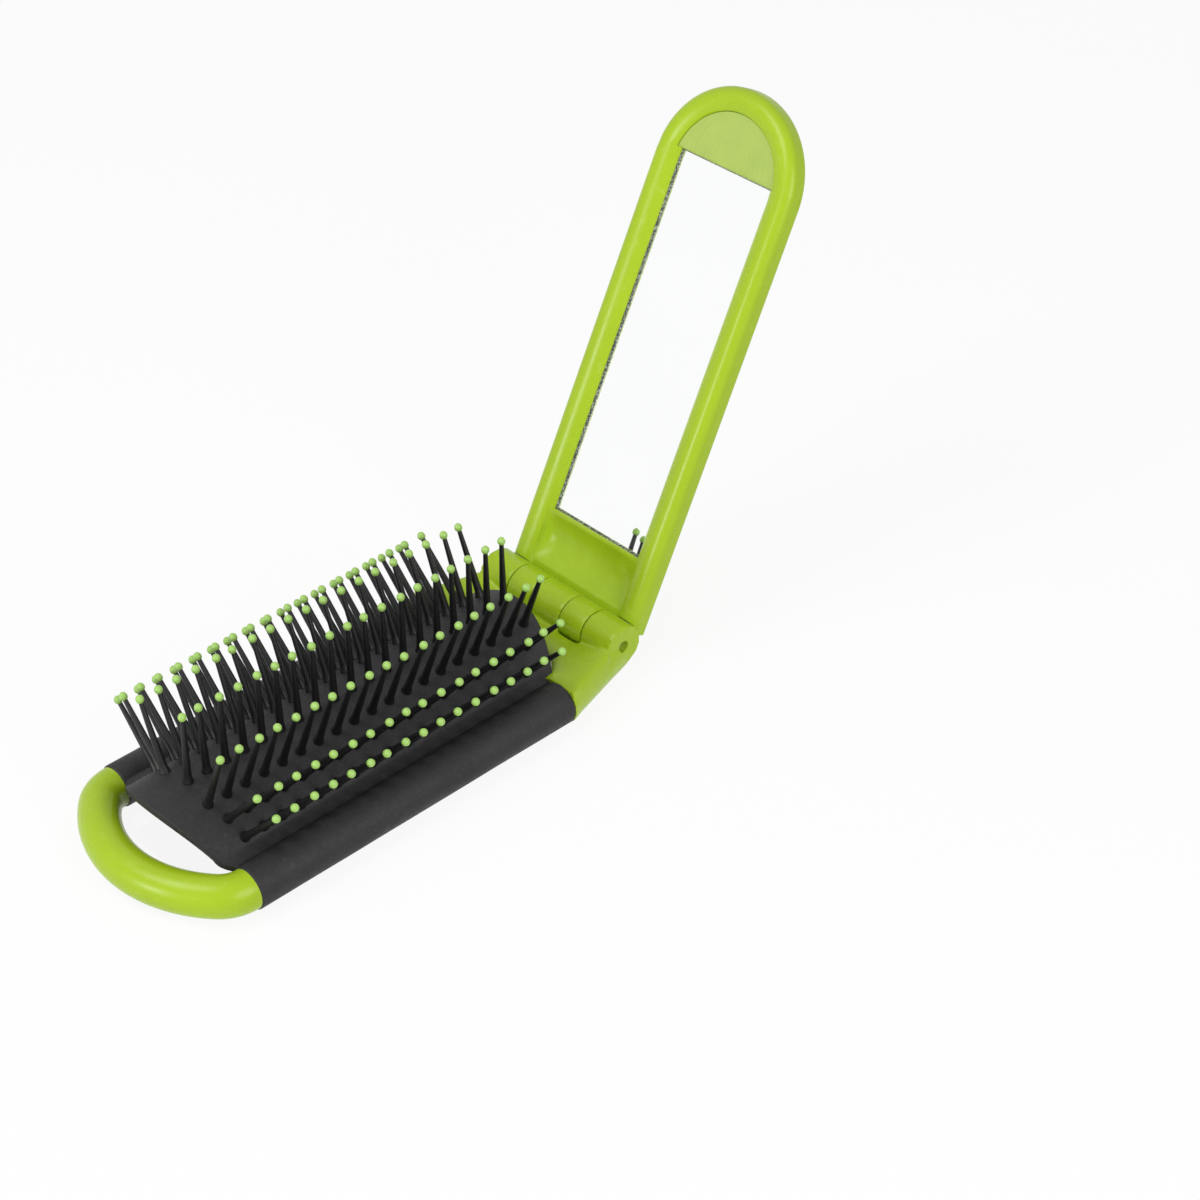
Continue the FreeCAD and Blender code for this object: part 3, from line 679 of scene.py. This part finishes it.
# Bristles
def make_row_tree():
    """Geometry nodes: one shape repeated along a row, each with its own slight sway."""
    tree = bpy.data.node_groups.new("row_of_bristles", "GeometryNodeTree")
    for label, kind in (("Shape", "NodeSocketObject"), ("Count", "NodeSocketInt"),
                        ("Pitch", "NodeSocketFloat"), ("Sway", "NodeSocketFloat"),
                        ("Lean", "NodeSocketFloat"), ("Seed", "NodeSocketInt"),
                        ("Finish", "NodeSocketMaterial")):
        tree.interface.new_socket(label, in_out="INPUT", socket_type=kind)
    tree.interface.new_socket("Geometry", in_out="OUTPUT", socket_type="NodeSocketGeometry")
    source = add_node(tree, "NodeGroupInput", (-900, 0))
    result = add_node(tree, "NodeGroupOutput", (900, 0))
    step = add_node(tree, "ShaderNodeCombineXYZ", (-700, 200))
    line = add_node(tree, "GeometryNodeMeshLine", (-500, 200), mode="OFFSET")
    shape = add_node(tree, "GeometryNodeObjectInfo", (-500, -50), transform_space="ORIGINAL")
    high = add_node(tree, "ShaderNodeCombineXYZ", (-700, -250))
    low = add_node(tree, "ShaderNodeVectorMath", (-500, -350), operation="SCALE")
    set_inputs(low, Scale=-1.0)
    sway = add_node(tree, "FunctionNodeRandomValue", (-250, -250), data_type="FLOAT_VECTOR")
    stand = add_node(tree, "GeometryNodeInstanceOnPoints", (0, 100))
    real = add_node(tree, "GeometryNodeRealizeInstances", (250, 100))
    finish = add_node(tree, "GeometryNodeSetMaterial", (500, 100))
    links = tree.links
    links.new(source.outputs["Pitch"], step.inputs["X"])
    links.new(source.outputs["Count"], line.inputs["Count"])
    links.new(step.outputs["Vector"], line.inputs["Offset"])
    links.new(source.outputs["Shape"], shape.inputs["Object"])
    links.new(source.outputs["Lean"], high.inputs["X"])
    links.new(source.outputs["Sway"], high.inputs["Y"])
    links.new(high.outputs["Vector"], low.inputs[0])
    links.new(low.outputs["Vector"], sway.inputs["Min"])
    links.new(high.outputs["Vector"], sway.inputs["Max"])
    links.new(source.outputs["Seed"], sway.inputs["Seed"])
    links.new(line.outputs["Mesh"], stand.inputs["Points"])
    links.new(shape.outputs["Geometry"], stand.inputs["Instance"])
    links.new(sway.outputs["Value"], stand.inputs["Rotation"])
    links.new(stand.outputs["Instances"], real.inputs["Geometry"])
    links.new(real.outputs["Geometry"], finish.inputs["Geometry"])
    links.new(source.outputs["Finish"], finish.inputs["Material"])
    links.new(finish.outputs["Geometry"], result.inputs["Geometry"])
    return tree


def repeat_along(tree, name, shape, count, seed, finish):
    holder = bpy.data.objects.new(name + "_row", bpy.data.meshes.new(name + "_row"))
    bpy.context.scene.collection.objects.link(holder)
    modifier = holder.modifiers.new("row", "NODES")
    modifier.node_group = tree
    values = {"Shape": shape, "Count": count, "Pitch": PITCH * MM, "Sway": BRISTLE_SWAY,
              "Lean": BRISTLE_LEAN, "Seed": seed, "Finish": finish}
    for item in tree.interface.items_tree:
        if item.in_out == "INPUT":
            modifier[item.identifier] = values[item.name]
    return baked(holder, name)


def make_pin_shape():
    """One bristle: thick at its root, tapering to the end that the bead sits on."""
    neck = BRISTLE_LENGTH - 2 * BEAD_HALF
    profile = [(0.64, BAR_TOP - 0.1), (0.64, -0.15), (1.05, 0.0), (1.0, 0.3), (0.84, 0.8), (0.74, 1.8),
               (0.62, 7.0), (0.45, neck), (0.42, neck + 0.5), (0.15, neck + 0.8)]
    return piece_from("pin_shape", mesh_of("pin_shape", [lathe(profile, BRISTLE_SIDES)]), PIN_BLACK)


def make_bead_shape():
    middle = BRISTLE_LENGTH - BEAD_HALF
    profile = []
    for turn in steps(0.0, math.pi, 8):
        profile.append((max(BEAD_RADIUS * math.sin(turn), 0.05), middle - BEAD_HALF * math.cos(turn)))
    return piece_from("bead_shape", mesh_of("bead_shape", [lathe(profile, BEAD_SIDES)]), BEAD)


def bar_shell(count):
    """The rib behind the pad that carries one row: flat on top, round below and at its ends."""
    length = PITCH * (count - 1)
    half = BAR_WIDTH / 2
    near_end = []
    for turn in steps(0.0, math.pi / 2, 6):
        near_end.append((-BAR_OVERHANG + half - half * math.cos(turn), max(math.sin(turn), 0.04)))
    stations = near_end + [(length - along, share) for along, share in reversed(near_end)]
    points = []
    for along, share in stations:
        for side in range(BAR_SIDES):
            angle = 2 * math.pi * side / BAR_SIDES
            drop = max(-math.sin(angle), 0.0) ** BAR_BELLY
            points.append((along, half * share * math.cos(angle), BAR_TOP - BAR_HEIGHT * share * drop))
    return points, ring_faces(len(stations), BAR_SIDES)


def make_bristles():
    tree = make_row_tree()
    pin_shape = make_pin_shape()
    bead_shape = make_bead_shape()
    for number, count, first, across, lean in ROWS:
        height = PAD_CROWN - PAD_RADIUS + math.sqrt(PAD_RADIUS ** 2 - across ** 2)
        place = metres(Matrix.Translation((first, across, height))
                       @ Matrix.Rotation(math.radians(-lean), 4, "X"))
        body = "row_%d" % number
        pins = repeat_along(tree, "pins_%d" % number, pin_shape, count, number, PIN_BLACK)
        work = bmesh.new()
        work.from_mesh(pins)
        work.from_mesh(mesh_of("bar", [bar_shell(count)]))
        work.transform(place)
        work.to_mesh(pins)
        work.free()
        fit(piece_from(pins.name, pins, PIN_BLACK), body, "black_plastic", "comb_%d" % number)
        beads = repeat_along(tree, "beads_%d" % number, bead_shape, count, number, BEAD)
        beads.transform(place)
        fit(piece_from(beads.name, beads, BEAD), body, "bead_plastic", "tips_%d" % number)
    bpy.data.objects.remove(pin_shape)
    bpy.data.objects.remove(bead_shape)


# Hinge block
def saddle_level(across):
    """Height of the block's top, which dips smoothly from the arms to the bridge."""
    share = min(max((abs(across) - SADDLE_START) / (SADDLE_END - SADDLE_START), 0.0), 1.0)
    return BRIDGE_LEVEL + (ARM_LEVEL - BRIDGE_LEVEL) * share ** 2 * (3 - 2 * share)


def barrel_clearance(place):
    """How far a place in metres lies outside the barrel, in millimetres."""
    return math.hypot(place.x / MM, place.z / MM - PIN_HEIGHT) - BARREL_RADIUS


def round_bore(place):
    """Move a place on the ragged wall of the pin's bore to its true radius."""
    radius = barrel_clearance(place) + BARREL_RADIUS
    if radius < BORE_RADIUS + BORE_RAGGED:
        place.x *= BORE_RADIUS / radius
        place.z = PIN_HEIGHT * MM + (place.z - PIN_HEIGHT * MM) * BORE_RADIUS / radius


def skinned(mesh):
    """The mesh covered again with even small faces."""
    holder = bpy.data.objects.new("block_skin", mesh)
    bpy.context.scene.collection.objects.link(holder)
    skin = holder.modifiers.new("skin", "REMESH")
    skin.mode = "VOXEL"
    skin.voxel_size = BLOCK_DETAIL * MM
    return baked(holder, "block")


def smoothed(work, verts, rounds):
    for _ in range(rounds):
        bmesh.ops.smooth_vert(work, verts=verts, factor=0.5, use_axis_x=True, use_axis_y=True,
                              use_axis_z=True)


def make_block():
    """The block with its arms and bridge flowing into each other, and its barrel kept crisp."""
    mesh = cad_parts["hinge_block"].data.copy()
    work = bmesh.new()
    work.from_mesh(mesh)
    bmesh.ops.remove_doubles(work, verts=work.verts, dist=BLOCK_WELD)
    work.to_mesh(mesh)
    work.free()
    mesh = skinned(mesh)
    for vert in mesh.vertices:
        top = saddle_level(vert.co.y / MM) * MM
        raised = vert.co.z > (BRIDGE_LEVEL - BRIDGE_MARGIN) * MM and vert.normal.z > FACING_UP
        if barrel_clearance(vert.co) > BARREL_MARGIN and (raised or vert.co.z > top):
            vert.co.z = top
    mesh = skinned(mesh)
    work = bmesh.new()
    work.from_mesh(mesh)
    soft = []
    for vert in work.verts:
        soft.append((min(barrel_clearance(vert.co), (vert.co.x / MM - SLEEVE_END) / ARM_FADE), vert))
    for least, rounds in BLOCK_SMOOTHING:
        smoothed(work, [vert for amount, vert in soft if amount > least], rounds)
    smoothed(work, work.verts, 1)
    for vert in work.verts:
        round_bore(vert.co)
    work.to_mesh(mesh)
    work.free()
    fit(piece_from("block", mesh, LIME), "frame", "green_plastic", "hinge_block")
    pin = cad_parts["hinge_pin"]
    pin.data.materials.clear()
    pin.data.materials.append(STEEL)


# Lid
def rim_level(inset):
    """Height of the lid's rounded rim at an inset from its outline."""
    if inset < RIM_CREST:
        share = 1 - max(inset, 0.0) / RIM_CREST
        return RIM_SIDE_TOP + (RIM_LEVEL - RIM_SIDE_TOP) * math.sqrt(1 - share ** 2)
    return RIM_LEVEL - RIM_FALL * ((inset - RIM_CREST) / (WINDOW_INSET - RIM_CREST)) ** 2


def rim_insets(end):
    """Insets that follow the rim from its outer wall over the crest to where it ends."""
    shoulder = [RIM_CREST * (1 - math.cos(turn)) for turn in steps(0.0, math.pi / 2, RIM_STEPS)]
    return shoulder + steps(RIM_CREST, end - RIM_EDGE, RIM_STEPS)[1:]


def foot_level(along, across):
    """Height of the lid's foot: rim at both sides, and between them a trough with swept ends."""
    inset = min(LID_HALF - abs(across), WINDOW_INSET)
    face = rim_level(inset)
    if inset > RIM_CREST:
        face = max(face, FACE_LEVEL)
    sweep = max(abs(across) - SCOOP_STRAIGHT, 0.0) / SCOOP_END
    if sweep >= 1.0:
        return face
    bowl = 1 - ((along - SCOOP_PLACE) / SCOOP_REACH) ** 2
    return soft_min(face, FACE_LEVEL - SCOOP_DEPTH * bowl * math.sqrt(1 - sweep ** 2), SCOOP_ROUND)


def heel_edge(across):
    """Place along the lid where its face meets the clearance round the barrel."""
    low = LID_HEEL
    high = HEEL_CLEAR
    for _ in range(30):
        middle = (low + high) / 2
        if math.hypot(middle, foot_level(middle, across)) < HEEL_CLEAR:
            low = middle
        else:
            high = middle
    return high


def foot_shell():
    side = [LID_HALF - inset for inset in rim_insets(WINDOW_INSET)]
    columns = side + steps(WINDOW_HALF, -WINDOW_HALF, FOOT_COLUMNS) + [-across for across in reversed(side)]
    points = []
    for across in columns:
        edge = heel_edge(across)
        section = [(along, foot_level(along, across)) for along in steps(edge, WINDOW_START, FOOT_STEPS)]
        section += [(WINDOW_START, LID_BACK), (LID_HEEL, LID_BACK)]
        begin = -math.acos(LID_HEEL / HEEL_CLEAR)
        finish = math.atan2(section[0][1], edge)
        for turn in steps(begin, finish, 6)[:-1]:
            section.append((HEEL_CLEAR * math.cos(turn), HEEL_CLEAR * math.sin(turn)))
        points += [(along, across, level) for along, level in section]
    return points, ring_faces(len(columns), len(points) // len(columns))


def rim_section(end):
    """Inset and level round the rim: over the crest, down to the mirror's seat and along the back."""
    seat = min(WINDOW_INSET - SEAT_OVERLAP, end - SEAT_STEP)
    section = [(inset, rim_level(inset)) for inset in rim_insets(end)]
    section += [(end, rim_level(end) - RIM_EDGE), (end, GLASS_LEVEL), (seat, GLASS_LEVEL)]
    return section + [(seat, LID_BACK), (0.0, LID_BACK)]


def rim_shell():
    """The rim along both sides and round the head, where it ends at the frosted panel."""
    chord = math.asin((WINDOW_END - LID_HEAD) / (LID_HALF - WINDOW_INSET))
    stations = [(along, 0.0, 1.0, WINDOW_INSET) for along in steps(WINDOW_START, LID_HEAD, 8)]
    stations.append((LID_HEAD, math.sin(chord), math.cos(chord), WINDOW_INSET))
    for turn in steps(chord + CHORD_GAP, math.pi - chord - CHORD_GAP, HEAD_STEPS):
        stations.append((LID_HEAD, math.sin(turn), math.cos(turn), PANEL_INSET))
    stations.append((LID_HEAD, math.sin(chord), -math.cos(chord), WINDOW_INSET))
    stations += [(along, 0.0, -1.0, WINDOW_INSET) for along in steps(LID_HEAD, WINDOW_START, 8)]
    points = []
    for along, ahead, across, end in stations:
        section = rim_section(end)
        for inset, level in section:
            reach = LID_HALF - inset
            points.append((along + reach * ahead, reach * across, level))
    return points, ring_faces(len(stations), len(section))


def knuckle_shells(low, high):
    """One lid knuckle and the tie that joins it to the lid's foot."""
    lip = BARREL_RADIUS - KNUCKLE_EDGE
    profile = []
    for turn in steps(0.0, math.pi / 2, 4):
        profile.append((lip + KNUCKLE_EDGE * math.sin(turn), low + KNUCKLE_EDGE * (1 - math.cos(turn))))
    profile += [(radius, low + high - across) for radius, across in reversed(profile)]
    corners = ((0.0, LID_BACK), (TIE_REACH, LID_BACK), (TIE_REACH, TIE_TOP - TIE_SLOPE_DROP),
               (TIE_SLOPE_START, TIE_TOP), (0.0, TIE_TOP))
    tie = [(along, across, level) for across in (low, high) for along, level in corners]
    return [lathe(profile, KNUCKLE_SIDES, "Y"), (tie, ring_faces(2, len(corners)))]


def make_lid():
    shells = [rim_shell(), foot_shell()]
    shells += knuckle_shells(-KNUCKLE_OUTER, -KNUCKLE_INNER)
    shells += knuckle_shells(KNUCKLE_INNER, KNUCKLE_OUTER)
    fit(piece_from("lid", mesh_of("lid", shells, LID_PLACE), LIME), "lid", "green_plastic", "lid_frame")


def make_cover():
    """The lid's flat back, with a rounded edge."""
    levels = [(0.0, LID_BACK)]
    for turn in steps(0.0, math.pi / 2, 6):
        levels.append((COVER_ROUND * (1 - math.cos(turn)),
                       LID_BACK - COVER_DEPTH + COVER_ROUND * (1 - math.sin(turn))))
    levels.append((COVER_FLAT, LID_BACK - COVER_DEPTH))
    points = []
    for inset, level in levels:
        half = LID_HALF - inset
        points.append((LID_HEEL + inset, -half, level))
        for turn in steps(-math.pi / 2, math.pi / 2, HEAD_STEPS):
            points.append((LID_HEAD + half * math.cos(turn), half * math.sin(turn), level))
        points.append((LID_HEEL + inset, half, level))
    shell = (points, ring_faces(len(levels), len(points) // len(levels)))
    fit(piece_from("cover", mesh_of("cover", [shell], LID_PLACE), LIME), "lid", "green_plastic", "lid_cover")


def make_head_panel():
    """The frosted panel that fills the head above the mirror, with a rounded lower edge."""
    points = []
    levels = [(0.0, GLASS_LEVEL)]
    for turn in steps(0.0, math.pi / 2, 5):
        levels.append((PANEL_ROUND * (1 - math.cos(turn)),
                       PANEL_LEVEL - PANEL_ROUND + PANEL_ROUND * math.sin(turn)))
    for inset, level in levels:
        radius = LID_HALF - PANEL_INSET - PANEL_GAP - PANEL_DRAFT * inset
        limit = math.acos((WINDOW_END + inset - LID_HEAD) / radius)
        for turn in steps(-limit, limit, HEAD_STEPS):
            points.append((LID_HEAD + radius * math.cos(turn), radius * math.sin(turn), level))
    shell = (points, ring_faces(len(levels), len(points) // len(levels)))
    mesh = mesh_of("head_panel", [shell], LID_PLACE)
    fit(piece_from("head_panel", mesh, FROSTED), "lid", "green_plastic")


def window_corners(margin, level):
    low = WINDOW_START - margin
    high = WINDOW_END + margin
    half = WINDOW_HALF + margin
    return [(low, -half, level), (high, -half, level), (high, half, level), (low, half, level)]


def make_mirror():
    """The glass in its seat, the rough edge that shows round it, and the tape behind it."""
    points = window_corners(MIRROR_OVERLAP, GLASS_LEVEL - GLASS_DEPTH)
    points += window_corners(MIRROR_OVERLAP, GLASS_LEVEL - GLASS_ROUND)
    points += window_corners(MIRROR_OVERLAP - GLASS_ROUND, GLASS_LEVEL)
    mesh = mesh_of("glass", [(points, ring_faces(3, 4))], LID_PLACE)
    fit(piece_from("glass", mesh, SILVERED), "lid", "mirror_glass", "mirror")
    low = GLASS_LEVEL + GLASS_EDGE_LIFT
    high = GLASS_LEVEL + GLASS_EDGE_HEIGHT
    corners = [window_corners(GLASS_EDGE_BACK, low), window_corners(GLASS_EDGE_BACK, high),
               window_corners(GLASS_EDGE_TOP, high), window_corners(GLASS_EDGE_FOOT, low)]
    points = [corners[layer][corner] for corner in range(4) for layer in range(4)]
    mesh = mesh_of("glass_edge", [(points, ring_faces(4, 4, closed=True))], LID_PLACE)
    fit(piece_from("glass_edge", mesh, SILVER_EDGE), "lid", "mirror_glass")
    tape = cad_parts["mirror_tape"]
    tape.data.materials.clear()
    tape.data.materials.append(TAPE)


# Studio
def seen_plainly(tree):
    """1 for what the camera sees straight on, in a reflection or through glass."""
    path = add_node(tree, "ShaderNodeLightPath", (-700, 300))
    first = add_node(tree, "ShaderNodeMath", (-450, 300), operation="MAXIMUM")
    second = add_node(tree, "ShaderNodeMath", (-250, 300), operation="MAXIMUM")
    tree.links.new(path.outputs["Is Camera Ray"], first.inputs[0])
    tree.links.new(path.outputs["Is Glossy Ray"], first.inputs[1])
    tree.links.new(first.outputs[0], second.inputs[0])
    tree.links.new(path.outputs["Is Transmission Ray"], second.inputs[1])
    return second.outputs[0]


def make_backdrop():
    """A world that lights softly and looks white."""
    world = bpy.data.worlds.new("studio")
    bpy.context.scene.world = world
    world.use_nodes = True
    tree = world.node_tree
    light = tree.nodes["Background"]
    set_inputs(light, Color=(1.0, 1.0, 1.0, 1.0), Strength=WORLD_LIGHT)
    seen = add_node(tree, "ShaderNodeBackground", (0, -150))
    set_inputs(seen, Color=(1.0, 1.0, 1.0, 1.0), Strength=1.0)
    mix = add_node(tree, "ShaderNodeMixShader", (250, 0))
    tree.links.new(seen_plainly(tree), mix.inputs["Fac"])
    tree.links.new(light.outputs["Background"], mix.inputs[1])
    tree.links.new(seen.outputs["Background"], mix.inputs[2])
    tree.links.new(mix.outputs["Shader"], tree.nodes["World Output"].inputs["Surface"])


def make_floor():
    """A pale floor that keeps the brush's soft shadow, with a recess for the closed brush's rows."""
    rings = ((-FLOOR_REACH, FLOOR_REACH, FLOOR_REACH, 0.0), (RECESS_START, RECESS_END, RECESS_HALF, 0.0),
             (RECESS_START, RECESS_END, RECESS_HALF, -RECESS_DEPTH))
    points = []
    for low, high, half, level in rings:
        points += [(low, -half, level), (high, -half, level), (high, half, level), (low, half, level)]
    faces = [(8, 9, 10, 11)]
    for ring in (0, 4):
        for corner in range(4):
            after = (corner + 1) % 4
            faces.append((ring + corner, ring + after, ring + 4 + after, ring + 4 + corner))
    material, tree, shader = new_material("pale_floor")
    tree.links.new(add_tone(tree, FLOOR_SHADE, 8.0, 0.02), shader.inputs["Base Color"])
    set_inputs(shader, Roughness=0.9, Specular_IOR_Level=0.1)
    glow = add_node(tree, "ShaderNodeEmission", (0, -200))
    set_inputs(glow, Color=(1.0, 1.0, 1.0, 1.0), Strength=1.0)
    share = add_node(tree, "ShaderNodeMath", (0, 200), operation="MULTIPLY")
    share.inputs[1].default_value = FLOOR_PLAIN_SHARE
    mix = add_node(tree, "ShaderNodeMixShader", (300, 0))
    tree.links.new(seen_plainly(tree), share.inputs[0])
    tree.links.new(share.outputs[0], mix.inputs["Fac"])
    tree.links.new(shader.outputs["BSDF"], mix.inputs[1])
    tree.links.new(glow.outputs["Emission"], mix.inputs[2])
    tree.links.new(mix.outputs["Shader"], tree.nodes["Material Output"].inputs["Surface"])
    piece_from("floor", mesh_of("floor", [(points, faces)]), material)


def make_lamp(name, spot, aim, power, size):
    lamp = bpy.data.lights.new(name, "AREA")
    lamp.energy = power
    lamp.size = size
    item = bpy.data.objects.new(name, lamp)
    item.location = Vector(spot) * MM
    item.rotation_euler = (Vector(aim) - Vector(spot)).to_track_quat("-Z", "Y").to_euler()
    bpy.context.scene.collection.objects.link(item)


def make_camera():
    view = bpy.data.cameras.new("photo_view")
    view.lens = CAMERA_LENS
    view.sensor_width = CAMERA_SENSOR
    view.clip_start = CAMERA_NEAR
    camera = bpy.data.objects.new("photo_view", view)
    turn = Matrix((CAMERA_RIGHT, CAMERA_UP, CAMERA_BACK)).transposed().to_4x4()
    camera.matrix_world = Matrix.Translation(Vector(CAMERA_PLACE) * MM) @ turn
    bpy.context.scene.collection.objects.link(camera)
    bpy.context.scene.camera = camera


make_loop()
make_sleeve("grip_near", -1, "sleeve_near")
make_sleeve("grip_far", 1, "sleeve_far")
make_pad()
make_web("web_near", -1)
make_web("web_far", 1)
make_bristles()
make_block()
make_lid()
make_cover()
make_head_panel()
make_mirror()

bpy.context.scene.view_settings.view_transform = "Standard"
make_backdrop()
make_floor()
for lamp in LAMPS:
    make_lamp(*lamp)
make_camera()
